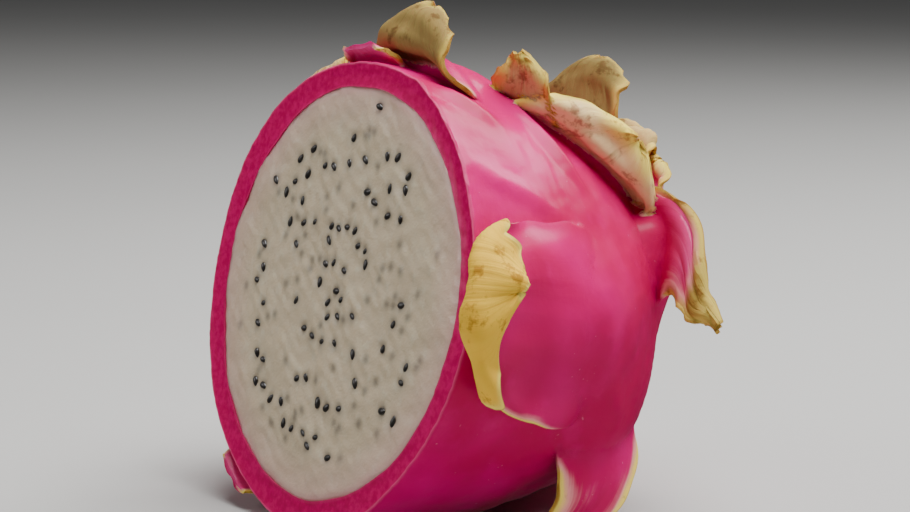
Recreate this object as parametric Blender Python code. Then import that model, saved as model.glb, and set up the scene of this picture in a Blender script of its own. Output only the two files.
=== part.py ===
"""Half of a dragon fruit, cut across its middle and lying on its side.

The peel is one grown piece: a thick leathery shell whose leafy scales rise from
swellings on its outside. The white flesh fills the shell, and its cut face
carries the small black seeds. Metres, +Z up, the cut face looks towards -Y.
"""

import math
import random

import bmesh
import bpy
import numpy as np
from mathutils import Matrix, Vector

MM = 0.001

# Driving sizes of the half fruit
CUT_RADIUS = 44.4 * MM  # skin at the cut, between the scales
HALF_LENGTH = 67.5 * MM  # from the cut to the stem end
FULLNESS = 0.81  # 1 is an ellipse, and less keeps the side fuller
FLESH_RADIUS = 38.6 * MM  # white flesh at the cut
FLESH_LENGTH = 58.0 * MM  # how deep the flesh goes towards the stem
FLESH_FULLNESS = 0.94
FIT_GAP = 0.3 * MM  # between peel and flesh

# How it rests
TILT = math.radians(12.0)  # the stem end lies lower than the cut
GROUND = 45.0 * MM  # from the cut's centre straight down to the ground
FLAT_MIDDLE = 10.0 * MM  # the flat spot's middle, behind the cut's centre

# The hollow under the belly, between the flat spot and the scales it stands on
HOLLOW_DEPTH = 4.0 * MM
HOLLOW_ALONG = 44.0 * MM
HOLLOW_LENGTH = 14.0 * MM
HOLLOW_ANGLE = math.radians(34.0)

# The stem scar
SCAR_RADIUS = 5.0 * MM
SCAR_LENGTH = 3.0 * MM
DIMPLE_DEPTH = 3.5 * MM
DIMPLE_RADIUS = 11.0 * MM

# Scales
RIM_THICKNESS = 0.9 * MM
ROOT_THICKNESS = 3.4 * MM
ROOT_DEPTH = 1.0 * MM  # how far the root is sunk in its swelling
ROOT_SHARE = 0.12  # the part of the length that lies behind the base line

# Seeds
SEED_LENGTH = 2.1 * MM
SEED_WIDTH = 1.3 * MM
SEED_PROUD = 0.35 * MM  # how far a seed stands out of the cut face
SEED_SPACING = 2.5 * MM

# Mesh fineness
LIP = 3.0 * MM  # what is built in front of the cut, and cut away
RINGS = 26
SPOKES = 60
BLADE_ROWS = 13
BLADE_COLUMNS = 8
FLESH_RINGS = 12
FLESH_SPOKES = 36


def colour_material(name, colour, roughness):
    """A plain material with one colour."""
    material = bpy.data.materials.new(name)
    material.use_nodes = True
    shader = material.node_tree.nodes["Principled BSDF"]
    shader.inputs["Base Color"].default_value = (*colour, 1.0)
    shader.inputs["Roughness"].default_value = roughness
    shader.inputs["Metallic"].default_value = 0.0
    return material


def smooth_step(x):
    """0 below 0, 1 above 1, and an even rise between them."""
    x = np.clip(x, 0.0, 1.0)
    return x * x * (3.0 - 2.0 * x)


class Scale:
    """One leafy scale and the swelling that it grows from.

    along and around place the middle of its base: millimetres of skin from the
    cut, and degrees round the fruit, 0 at +X and 90 on top. A scale points at
    the cut, and turn swings it away from there. half_width and length are the
    blade's, in millimetres, and lift is how steeply it leaves the skin. At fold
    millimetres from its base it rolls back by roll degrees, round a line that
    slant turns and bow bends. The last tip millimetres curl by tip_roll more.
    drift carries the point sideways, cup raises the margins, crumple wrinkles
    them. outline is how long the blade stays broad, and point how sharply it
    ends. A whole scale was bent aside before the knife came.
    """

    def __init__(self, along, around, half_width, length, lift=12, fold=17, roll=150,
                 bend=2.4, slant=0, bow=0.0, tip=6, tip_roll=20, turn=0, swell=3.0,
                 drift=0.0, cup=0.8, crumple=0.6, outline=1.7, point=1.0,
                 whole=False, rows=1.0):
        self.along = along * MM
        self.around = math.radians(around)
        self.half_width = half_width * MM
        self.length = length * MM
        self.lift = math.radians(lift)
        self.fold = fold * MM
        self.roll = math.radians(roll)
        self.bend = bend * MM
        self.slant = math.radians(slant)
        self.bow = bow * MM
        self.tip = tip * MM
        self.tip_roll = math.radians(tip_roll)
        self.turn = math.radians(turn)
        self.swell = swell * MM
        self.drift = drift * MM
        self.cup = cup * MM
        self.crumple = crumple * MM
        self.outline = outline
        self.point = point
        self.whole = whole
        self.rows = rows


# The scales seen in the picture, and then those on the hidden side
SCALES = [
    Scale(22, 4, 21, 41, lift=4, fold=26, roll=174, bend=1.7, bow=10, tip=6, tip_roll=-15,
          swell=3.2, drift=3, cup=1.8, outline=4.5, point=1.4, whole=True),
    Scale(49, 71, 18, 33, lift=1, fold=14.5, roll=108, bend=1.3, slant=-54, tip=6,
          tip_roll=0, swell=1.0, drift=-2),
    Scale(14, 82, 14, 21, lift=6, fold=9, roll=100, bend=1.8, bow=2, tip=5,
          tip_roll=50, swell=2.8),
    Scale(56, 40, 13, 18, lift=58, fold=10, roll=40, bend=6.0, tip=6, tip_roll=20, swell=4.8,
          drift=-15, point=1.4),
    Scale(55, 91, 11, 22, lift=75, fold=14, roll=30, bend=5.0, tip=4, tip_roll=40, swell=2.2,
          outline=3.5),
    Scale(56, 75, 8, 15, lift=50, fold=7, roll=80, bend=3.0, swell=3.0, rows=0.8),
    Scale(48, -29, 17, 28, lift=48, fold=14, roll=5, bend=8.0, tip_roll=0, turn=78,
          swell=2.2, outline=1.4, rows=0.8),
    Scale(7, 97, 9, 13, lift=12, fold=8, roll=10, bend=4.0, tip_roll=0, swell=1.6, rows=0.6),
    Scale(6, -122, 8, 14, lift=15, fold=8, roll=10, bend=4.0, tip_roll=0, swell=2.4, rows=0.6),
    Scale(28, 136, 20, 34, lift=8, fold=17, roll=160, bend=2.4, bow=5, rows=0.8),
    Scale(52, 150, 15, 28, lift=25, fold=13, roll=110, bend=3.0, rows=0.8),
    Scale(25, -172, 20, 32, lift=8, fold=16, roll=160, bend=2.6, bow=6, rows=0.8),
    Scale(48, -151, 17, 28, lift=48, fold=14, roll=5, bend=8.0, tip_roll=0, turn=-78,
          swell=2.2, outline=1.4, rows=0.8),
    Scale(66, -170, 12, 22, lift=65, fold=12, roll=50, bend=5.0, swell=2.2, rows=0.8),
    Scale(72, -85, 10, 14, lift=60, fold=10, roll=30, bend=5.0, swell=1.8, rows=0.6),
]


# The fruit's plain form, as a curve from the cut to the stem end

def meridian(angle):
    """(distance from the cut, radius) of the plain form at an angle from 0 to 90 degrees."""
    deep = HALF_LENGTH * np.sin(angle) ** FULLNESS
    radius = CUT_RADIUS * np.cos(angle) ** FULLNESS
    dimple = DIMPLE_DEPTH * np.exp(-((radius / DIMPLE_RADIUS) ** 2))
    return deep - dimple, radius


TABLE_DEEP, TABLE_RADIUS = meridian(np.linspace(0.0, math.pi / 2, 721))
TABLE_STEPS = np.hypot(np.diff(TABLE_DEEP), np.diff(TABLE_RADIUS))
TABLE_ALONG = np.concatenate([[0.0], np.cumsum(TABLE_STEPS)])
TABLE_SLOPE_DEEP = np.gradient(TABLE_DEEP, TABLE_ALONG)
TABLE_SLOPE_RADIUS = np.gradient(TABLE_RADIUS, TABLE_ALONG)
SKIN_LENGTH = TABLE_ALONG[-1]


def plain_skin(along, around):
    """Points and outward normals of the plain form, before it swells."""
    along, around = np.broadcast_arrays(along, around)
    deep = np.interp(along, TABLE_ALONG, TABLE_DEEP) + np.minimum(along, 0.0)
    radius = np.interp(along, TABLE_ALONG, TABLE_RADIUS)
    slope_deep = np.interp(along, TABLE_ALONG, TABLE_SLOPE_DEEP)
    slope_radius = np.interp(along, TABLE_ALONG, TABLE_SLOPE_RADIUS)
    cos, sin = np.cos(around), np.sin(around)
    points = np.stack([radius * cos, deep, radius * sin], -1)
    normals = np.stack([slope_deep * cos, -slope_radius, slope_deep * sin], -1)
    return points, normals / np.linalg.norm(normals, axis=-1, keepdims=True)


def radius_at(along):
    """The plain form's radius, never small enough to wrap a scale right round."""
    return np.maximum(np.interp(along, TABLE_ALONG, TABLE_RADIUS), 12.0 * MM)


# Swellings

def to_scale(scale, along, around):
    """(towards the stem, sideways) of a place on the skin, in the scale's own directions."""
    turned = (around - scale.around + math.pi) % (2 * math.pi) - math.pi
    behind = along - scale.along
    across = turned * radius_at(along)
    cos, sin = math.cos(scale.turn), math.sin(scale.turn)
    return behind * cos + across * sin, across * cos - behind * sin


def from_scale(scale, behind, sideways):
    """The place on the skin of a point given in the scale's own directions."""
    cos, sin = math.cos(scale.turn), math.sin(scale.turn)
    along = scale.along + behind * cos - sideways * sin
    across = behind * sin + sideways * cos
    return along, scale.around + across / radius_at(scale.along)


def swelling(scale, behind, sideways):
    """Height of the swelling, as if the scale never left the skin."""
    wide = np.clip(1.0 - (sideways / (1.15 * scale.half_width)) ** 2, 0.0, 1.0)
    fall = np.exp(-((np.maximum(behind, 0.0) / (0.95 * scale.half_width)) ** 2))
    return scale.swell * wide ** 1.8 * fall


def swelling_end(scale, sideways):
    """How far towards the cut the swelling reaches, at each place across it."""
    across = np.clip(np.abs(sideways) / scale.half_width, 0.0, 1.2)
    return -0.26 * scale.length * (1.0 - across ** 1.6)


def skin_height(along, around):
    """Height of the real skin over the plain form."""
    total = 0.0
    for scale in SCALES:
        behind, sideways = to_scale(scale, along, around)
        past_end = (behind - swelling_end(scale, sideways)) / (2.0 * MM) + 0.5
        total = total + (swelling(scale, behind, sideways) * smooth_step(past_end)) ** 3
    lumps = (
        0.9 * np.cos(around - 3.4)
        + 0.45 * np.sin(3 * around + 40.0 * along + 0.6)
        + 0.35 * np.sin(5 * around - 60.0 * along + 2.1)
        + 0.25 * np.sin(2 * around + 130.0 * along + 4.0)
    )
    fade = np.interp(along, [0.0, 0.8 * SKIN_LENGTH, SKIN_LENGTH], [1.0, 1.0, 0.0])
    beside = (around + math.pi / 2 + math.pi) % (2 * math.pi) - math.pi
    hollow = np.exp(-(((along - HOLLOW_ALONG) / HOLLOW_LENGTH) ** 2) - (beside / HOLLOW_ANGLE) ** 2)
    return np.cbrt(total) + lumps * MM * fade - HOLLOW_DEPTH * hollow


# The leafy blades

def bent(distance, height, radius, angle):
    """(distance, height) of points of a sheet once it is bent where its distance passes 0."""
    sign = 1.0 if angle >= 0 else -1.0
    turned = np.clip(distance / radius, 0.0, abs(angle))
    past = np.maximum(distance - radius * abs(angle), 0.0)
    moved = np.minimum(distance, 0.0) + radius * np.sin(turned) + past * np.cos(turned)
    risen = radius * (1.0 - np.cos(turned)) + past * np.sin(turned)
    return moved - sign * np.sin(turned) * height, sign * risen + np.cos(turned) * height


def blade_outline(scale, v):
    """Half width along a blade as a share of its base."""
    return np.clip(1.0 - v ** scale.outline, 0.0, 1.0) ** scale.point * 0.96 + 0.04


def blade_sheet(scale, v, u):
    """A blade's outer face: points for v from root to tip and u from side to side."""
    forward = (v * (1.0 + ROOT_SHARE) - ROOT_SHARE) * scale.length
    grown = smooth_step(v / 0.8)
    sideways = u * scale.half_width * blade_outline(scale, v) + scale.drift * grown ** 2
    waves = np.sin(7.0 * u + 9.0 * v) + 0.7 * np.sin(4.0 * u - 17.0 * v + 1.0)
    edge = u ** 2
    height = scale.cup * edge * smooth_step((v - 0.10) / 0.3)
    height = height + scale.crumple * waves * grown * (0.35 + 0.65 * edge)
    place, height = bent(forward - (scale.length - scale.tip), height, 3.0 * MM, scale.tip_roll)
    forward = place + scale.length - scale.tip
    cos, sin = math.cos(scale.slant), math.sin(scale.slant)
    past = forward * cos + sideways * sin - scale.fold
    beside = sideways * cos - forward * sin
    past = past + scale.bow * (beside / scale.half_width) ** 2
    moved, height = bent(past, height, scale.bend, scale.roll)
    moved = moved - past
    forward = forward + moved * cos
    sideways = sideways + moved * sin
    forward, height = bent(forward, height, 6.0 * MM, scale.lift)
    along, around = from_scale(scale, -forward, sideways)
    points, normals = plain_skin(along, around)
    sunk = ROOT_DEPTH * (1.0 - smooth_step(v / 0.3)) + 0.5 * MM * u ** 4 * (1.0 - v)
    base = swelling(scale, -forward, sideways)
    return points + normals * (base + height - sunk)[..., None], normals


def blade_rows(scale, rows):
    """Places from root to tip, closer together where the blade folds."""
    fine = np.linspace(0.0, 1.0, 401)
    middle = (scale.fold + 0.5 * scale.bend * scale.roll) / scale.length
    middle = (middle + ROOT_SHARE) / (1.0 + ROOT_SHARE)
    dense = 1.0 + 1.6 * math.cos(scale.slant) ** 2 * np.exp(-(((fine - middle) / 0.13) ** 2))
    reached = np.concatenate([[0.0], np.cumsum(dense[1:])])
    return np.interp(np.linspace(0.0, 1.0, rows + 1), reached / reached[-1], fine)


def blade_grids(scale, rows, columns):
    """(outer, inner) grids of points: the blade's two faces, root first."""
    v = blade_rows(scale, rows)[:, None]
    u = np.linspace(-1.0, 1.0, columns + 1)[None, :]
    outer, normals = blade_sheet(scale, v, u)
    face = np.cross(np.gradient(outer, axis=0), np.gradient(outer, axis=1))
    face /= np.linalg.norm(face, axis=-1, keepdims=True)
    face *= np.sign((face[0, columns // 2] * normals[0, columns // 2]).sum())
    body = (1.0 - smooth_step(v / 0.6)) * (1.0 - np.abs(u) ** 2.5)
    thick = RIM_THICKNESS + (ROOT_THICKNESS - RIM_THICKNESS) * body
    return outer, outer - face * thick[..., None]


def blade_mesh(name, scale, rows, columns):
    """A closed blade from its two faces and the rim between them."""
    outer, inner = blade_grids(scale, rows, columns)
    made = bmesh.new()
    top = [[made.verts.new(p) for p in row] for row in outer]
    low = [[made.verts.new(p) for p in row] for row in inner]
    for i in range(rows):
        for j in range(columns):
            made.faces.new((top[i][j], top[i + 1][j], top[i + 1][j + 1], top[i][j + 1]))
            made.faces.new((low[i][j], low[i][j + 1], low[i + 1][j + 1], low[i + 1][j]))
    rim = [(i, 0) for i in range(rows)] + [(rows, j) for j in range(columns)]
    rim += [(i, columns) for i in range(rows, 0, -1)] + [(0, j) for j in range(columns, 0, -1)]
    for (a, b), (c, d) in zip(rim, rim[1:] + rim[:1]):
        made.faces.new((top[c][d], top[a][b], low[a][b], low[c][d]))
    bmesh.ops.triangulate(made, faces=made.faces)
    bmesh.ops.recalc_face_normals(made, faces=made.faces)
    mesh = bpy.data.meshes.new(name)
    made.to_mesh(mesh)
    made.free()
    return mesh


# Solids, in the fruit's own frame: the cut at Y = 0 and the stem towards +Y

def new_object(name, mesh, collection):
    made = bpy.data.objects.new(name, mesh)
    collection.objects.link(made)
    return made


def bowl_mesh(name, loops):
    """A closed solid from loops of points: a flat cap on the first, the last drawn to a pole."""
    made = bmesh.new()
    rings = [[made.verts.new(p) for p in loop] for loop in loops[:-1]]
    pole = made.verts.new(loops[-1].mean(axis=0))
    count = len(rings[0])
    for low, high in zip(rings, rings[1:]):
        for i in range(count):
            k = (i + 1) % count
            made.faces.new((low[i], high[i], high[k], low[k]))
    for i in range(count):
        made.faces.new((rings[-1][i], pole, rings[-1][(i + 1) % count]))
    made.faces.new(rings[0])
    bmesh.ops.recalc_face_normals(made, faces=made.faces)
    mesh = bpy.data.meshes.new(name)
    made.to_mesh(mesh)
    made.free()
    return mesh


def skin_loops(rings, spokes):
    """The swollen skin, from a little in front of the cut to the stem end."""
    around = np.linspace(0.0, 2 * math.pi, spokes, endpoint=False)
    loops = []
    for along in np.linspace(-LIP, SKIN_LENGTH, rings + 1):
        points, normals = plain_skin(along, around)
        height = skin_height(np.full(spokes, max(along, 0.0)), around)
        loops.append(points + normals * height[:, None])
    return loops


def flesh_loops(rings, spokes, grow, front):
    """The flesh's rounded side grown by a distance, starting at front from the cut."""
    around = np.linspace(0.0, 2 * math.pi, spokes, endpoint=False)
    loops = []
    for angle in np.linspace(0.0, math.pi / 2, rings + 1):
        deep = (FLESH_LENGTH + grow) * math.sin(angle) ** FLESH_FULLNESS
        radius = (FLESH_RADIUS + grow) * max(math.cos(angle), 0.0) ** FLESH_FULLNESS
        depth = np.full(spokes, deep)
        loops.append(np.stack([radius * np.cos(around), depth, radius * np.sin(around)], -1))
    if front:
        loops.insert(0, loops[0] + np.array([0.0, front, 0.0]))
    return loops


def boolean(target, other, operation):
    """Joins or cuts for good, with an object or a whole collection, and removes what was used."""
    modifier = target.modifiers.new("join", "BOOLEAN")
    modifier.operation = operation
    modifier.solver = "MANIFOLD"
    if isinstance(other, bpy.types.Collection):
        modifier.operand_type = "COLLECTION"
        modifier.collection = other
        used = list(other.objects)
    else:
        modifier.object = other
        used = [other]
    bpy.context.view_layer.update()
    graph = bpy.context.evaluated_depsgraph_get()
    mesh = bpy.data.meshes.new_from_object(target.evaluated_get(graph))
    target.modifiers.clear()
    target.data = mesh
    for obj in used:
        bpy.data.objects.remove(obj)


def block(name, low, high, collection):
    """A plain block between two corners."""
    made = bmesh.new()
    bmesh.ops.create_cube(made, size=1.0)
    size = Vector(high) - Vector(low)
    bmesh.ops.scale(made, vec=size, verts=made.verts)
    bmesh.ops.translate(made, vec=(Vector(low) + Vector(high)) / 2, verts=made.verts)
    mesh = bpy.data.meshes.new(name)
    made.to_mesh(mesh)
    made.free()
    return new_object(name, mesh, collection)


def lay_down(obj):
    """Turns a solid from the fruit's frame to the ground's, the flat spot's middle at the origin."""
    turn = Matrix.Rotation(-TILT, 4, "X")
    obj.data.transform(Matrix.Translation((0.0, -FLAT_MIDDLE, GROUND)) @ turn)


def spare_collection(name):
    """A collection for what a union takes up."""
    made = bpy.data.collections.new(name)
    bpy.context.scene.collection.children.link(made)
    return made


# Seeds

def seed_places():
    """(x, z) of the seeds on the cut face: strings of them along arcs round its middle."""
    chance = random.Random(11)
    strings = [
        (4.0, 0, 360, 9, 1.6),
        (12.5, 25, 140, 9, 1.6),
        (10.5, -170, -10, 7, 1.4),
        (21.0, 40, 80, 5, 2.0),
        (29.5, 45, 72, 4, 1.6),
        (31.0, 80, 100, 2, 2.5),
        (24.5, 82, 122, 4, 1.5),
        (28.5, 118, 150, 6, 2.0),
        (22.0, 130, 158, 4, 2.2),
        (27.0, 162, 205, 5, 1.4),
        (28.5, 208, 245, 6, 1.8),
        (28.5, 248, 285, 6, 1.6),
        (21.0, 240, 312, 6, 1.6),
        (29.0, 312, 345, 4, 2.0),
        (21.0, -28, 6, 3, 2.5),
    ]
    places = []
    for radius, start, end, count, spread in strings:
        for number in range(count):
            for _ in range(60):
                share = (number + chance.uniform(0.15, 0.85)) / count
                angle = math.radians(start + (end - start) * share)
                reach = (radius + chance.gauss(0.0, spread)) * MM
                x = reach * math.cos(angle)
                z = reach * math.sin(angle)
                if all(math.hypot(x - a, z - b) > SEED_SPACING for a, b, _ in places):
                    places.append((x, z, chance.uniform(0.0, math.pi)))
                    break
    return places


def seed_mesh(x, z, turn):
    """A blunt seed, lying mostly in the flesh."""
    made = bmesh.new()
    bmesh.ops.create_uvsphere(made, u_segments=6, v_segments=3, radius=0.5)
    size = Vector((SEED_WIDTH, SEED_WIDTH, SEED_LENGTH))
    bmesh.ops.scale(made, vec=size, verts=made.verts)
    bmesh.ops.rotate(made, matrix=Matrix.Rotation(turn, 3, "Y"), verts=made.verts)
    sunk = SEED_WIDTH / 2 - SEED_PROUD
    bmesh.ops.translate(made, vec=(x, sunk, z), verts=made.verts)
    mesh = bpy.data.meshes.new("seed")
    made.to_mesh(mesh)
    made.free()
    return mesh


def make_peel(parts, cutters):
    peel = new_object("peel", bowl_mesh("peel", skin_loops(RINGS, SPOKES)), parts)
    blades = spare_collection("blades")
    whole = spare_collection("whole_blades")
    for scale in SCALES:
        rows = round(BLADE_ROWS * scale.rows)
        columns = 2 * round(BLADE_COLUMNS * scale.rows / 2)
        mesh = blade_mesh("blade", scale, rows, columns)
        new_object("blade", mesh, whole if scale.whole else blades)
    scar = bmesh.new()
    bmesh.ops.create_cone(scar, cap_ends=True, segments=16, radius1=SCAR_RADIUS,
                          radius2=0.7 * SCAR_RADIUS, depth=2 * SCAR_LENGTH)
    bmesh.ops.rotate(scar, matrix=Matrix.Rotation(-math.pi / 2, 3, "X"), verts=scar.verts)
    bmesh.ops.translate(scar, vec=(0.0, HALF_LENGTH - DIMPLE_DEPTH, 0.0), verts=scar.verts)
    mesh = bpy.data.meshes.new("scar")
    scar.to_mesh(mesh)
    scar.free()
    new_object("scar", mesh, blades)
    boolean(peel, blades, "UNION")
    bpy.data.collections.remove(blades)
    boolean(peel, block("front", (-0.2, -0.2, -0.2), (0.2, 0.0, 0.2), cutters), "DIFFERENCE")
    boolean(peel, whole, "UNION")
    bpy.data.collections.remove(whole)
    hollow = bowl_mesh("hollow", flesh_loops(FLESH_RINGS, FLESH_SPOKES, FIT_GAP, -LIP))
    boolean(peel, new_object("hollow", hollow, cutters), "DIFFERENCE")
    lay_down(peel)
    boolean(peel, block("ground", (-0.2, -0.2, -0.2), (0.2, 0.2, 0.0), cutters), "DIFFERENCE")
    return peel


def make_flesh(parts):
    flesh = new_object("flesh", bowl_mesh("flesh", flesh_loops(FLESH_RINGS, FLESH_SPOKES, 0.0, None)), parts)
    seeds = spare_collection("seeds")
    for x, z, turn in seed_places():
        new_object("seed", seed_mesh(x, z, turn), seeds)
    boolean(flesh, seeds, "UNION")
    bpy.data.collections.remove(seeds)
    lay_down(flesh)
    return flesh


def finish(obj, material, sharp):
    """Gives a solid its one material, and smooth shading but at edges sharper than so many degrees."""
    obj.data.materials.clear()
    obj.data.materials.append(material)
    obj.data.shade_smooth()
    obj.data.set_sharp_from_angle(angle=math.radians(sharp))


def main():
    for old in list(bpy.data.objects):
        bpy.data.objects.remove(old)
    parts = spare_collection("dragon_fruit_half")
    cutters = spare_collection("cutters")
    peel = make_peel(parts, cutters)
    finish(peel, colour_material("peel", (0.72, 0.03, 0.20), 0.35), 38.0)
    flesh = make_flesh(parts)
    finish(flesh, colour_material("flesh", (0.62, 0.58, 0.50), 0.40), 15.0)


main()
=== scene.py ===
# %% [markdown]
# # Half of a dragon fruit
#
# This lesson dresses a plain solid of a cut dragon fruit. The solid gives the
# sizes and the place. Here the leathery peel, its leafy scales, the moist white
# flesh and the small black seeds are built again in finer meshes, and get
# materials made from nodes. The solid's frame is loaded first, and the dressed
# fruit is built at the solid's size. The dressed fruit must stay the same size.

# %% Load the fixed frame
import math
import random

import bmesh
import bpy
import numpy as np
from mathutils import Matrix, Vector
from mathutils.kdtree import KDTree


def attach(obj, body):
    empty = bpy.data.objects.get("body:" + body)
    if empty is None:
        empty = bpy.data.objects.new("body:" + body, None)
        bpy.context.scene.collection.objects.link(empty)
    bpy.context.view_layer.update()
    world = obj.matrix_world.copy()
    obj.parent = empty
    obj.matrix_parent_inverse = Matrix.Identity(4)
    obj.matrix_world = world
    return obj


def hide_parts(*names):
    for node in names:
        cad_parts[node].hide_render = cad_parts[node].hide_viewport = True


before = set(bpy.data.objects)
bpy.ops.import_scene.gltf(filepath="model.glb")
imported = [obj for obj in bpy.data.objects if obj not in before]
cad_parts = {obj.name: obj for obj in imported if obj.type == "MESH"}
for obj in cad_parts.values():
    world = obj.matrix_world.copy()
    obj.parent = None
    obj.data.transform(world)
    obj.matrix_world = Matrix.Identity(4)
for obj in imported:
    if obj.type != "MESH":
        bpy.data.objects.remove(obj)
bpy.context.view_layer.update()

MM = 0.001

# %% [markdown]
# ## Where the fruit lies
#
# The half fruit lies on its side, its stem end a little lower than its cut. It is
# easiest to build it in its own frame, with the cut at Y = 0 and the stem towards
# +Y, and to turn every finished mesh with one matrix. The mesh is turned, not the
# object, so each object stays at the origin.

# %% Turn a mesh from the fruit's frame to the ground's
TILT = math.radians(12.0)
GROUND = 45.0 * MM
FLAT_MIDDLE = 10.0 * MM
LAY_DOWN = Matrix.Translation((0.0, -FLAT_MIDDLE, GROUND)) @ Matrix.Rotation(-TILT, 4, "X")


def new_object(name, data):
    """A new object at the origin that holds a mesh, a light or a camera."""
    made = bpy.data.objects.new(name, data)
    bpy.context.scene.collection.objects.link(made)
    return made


print("The cut leans back by", round(math.degrees(TILT), 1), "degrees")

# %% [markdown]
# ## The plain form as one curve
#
# Without its scales the fruit is close to a blunt ellipsoid. One curve from the cut
# to the stem end gives it: two trigonometric functions raised to a power below 1
# make the side fuller than an ellipse. Tables along that curve tell where a point
# lies so many millimetres of skin from the cut, and which way the skin looks there.

# %% The curve from the cut to the stem end
CUT_RADIUS = 44.4 * MM
HALF_LENGTH = 67.5 * MM
FULLNESS = 0.81
DIMPLE_DEPTH = 3.5 * MM
DIMPLE_RADIUS = 11.0 * MM


def smooth_step(x):
    """0 below 0, 1 above 1, and an even rise between them."""
    x = np.clip(x, 0.0, 1.0)
    return x * x * (3.0 - 2.0 * x)


def meridian(angle):
    """(distance from the cut, radius) of the plain form at an angle from 0 to 90 degrees."""
    deep = HALF_LENGTH * np.sin(angle) ** FULLNESS
    radius = CUT_RADIUS * np.cos(angle) ** FULLNESS
    return deep - DIMPLE_DEPTH * np.exp(-((radius / DIMPLE_RADIUS) ** 2)), radius


curve_deep, curve_radius = meridian(np.linspace(0.0, math.pi / 2, 721))
curve_steps = np.hypot(np.diff(curve_deep), np.diff(curve_radius))
curve_along = np.concatenate([[0.0], np.cumsum(curve_steps)])
slope_deep = np.gradient(curve_deep, curve_along)
slope_radius = np.gradient(curve_radius, curve_along)
SKIN_LENGTH = curve_along[-1]


def plain_skin(along, around):
    """Points and outward normals of the plain form."""
    along, around = np.broadcast_arrays(along, around)
    deep = np.interp(along, curve_along, curve_deep) + np.minimum(along, 0.0)
    radius = np.interp(along, curve_along, curve_radius)
    rise = np.interp(along, curve_along, slope_deep)
    fall = np.interp(along, curve_along, slope_radius)
    cos, sin = np.cos(around), np.sin(around)
    points = np.stack([radius * cos, deep, radius * sin], -1)
    normals = np.stack([rise * cos, -fall, rise * sin], -1)
    return points, normals / np.linalg.norm(normals, axis=-1, keepdims=True)


def radius_at(along):
    """The plain form's radius, never small enough to wrap a scale right round."""
    return np.maximum(np.interp(along, curve_along, curve_radius), 12.0 * MM)


print("Skin from the cut to the stem:", round(SKIN_LENGTH / MM, 1), "mm")

# %% [markdown]
# ## The scales, one by one
#
# A dragon fruit carries leafy scales. Each grows out of a swelling in the skin,
# points away from the stem, and dries from its margin inwards while its tip rolls
# back. The scales differ, so each has its own line of sizes: where it grows, how
# broad and long it is, where and how far it rolls back, and how dry it is. Places
# are millimetres of skin from the cut and degrees round the fruit, 90 on top.
#
# - lift and turn: how steeply it leaves the skin, and how far it points aside
# - fold, roll, bend, slant, bow: where it rolls back, how far, how tightly, and how
#   slanting and curved that line is; tip and tip_roll do the same for its tip
# - outline, point, flare, drift, hook: the shape of its outline, and where it leans
# - cup, crumple, lip, swell: its hollow, its creases, its raised edge, its mound
# - dry, inner_dry, margin, tan, gold: how far down it has dried on its outer and
#   its inner face, how broad its dry margin is, and how brown or golden it is
# - joined and whole: grown to the skin at one side, and missed by the knife

# %% The sizes of each scale
class Scale:
    """Sizes of one scale, in millimetres and degrees, and how dry it is."""

    def __init__(self, along, around, half_width, length, lift=12, fold=17, roll=150, bend=2.4,
                 slant=0, bow=0.0, tip=6, tip_roll=20, turn=0, swell=3.0, drift=0.0, cup=0.8,
                 crumple=0.6, outline=1.7, point=1.0, lip=0.0, flare=0.0, hook=0.0, joined=0.0,
                 whole=False, rows=1.0, dry=0.72, inner_dry=0.45, margin=3.0, tan=0.3, gold=0.5):
        self.along, self.half_width, self.length = along * MM, half_width * MM, length * MM
        self.fold, self.bend, self.bow, self.tip = fold * MM, bend * MM, bow * MM, tip * MM
        self.swell, self.drift, self.cup = swell * MM, drift * MM, cup * MM
        self.crumple, self.margin, self.lip = crumple * MM, margin * MM, lip * MM
        self.hook = hook * MM
        self.around, self.turn = math.radians(around), math.radians(turn)
        self.lift, self.roll = math.radians(lift), math.radians(roll)
        self.slant, self.tip_roll = math.radians(slant), math.radians(tip_roll)
        self.outline, self.point, self.flare, self.joined = outline, point, flare, joined
        self.whole, self.rows = whole, rows
        self.dry, self.inner_dry, self.tan, self.gold = dry, inner_dry, tan, gold


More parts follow.
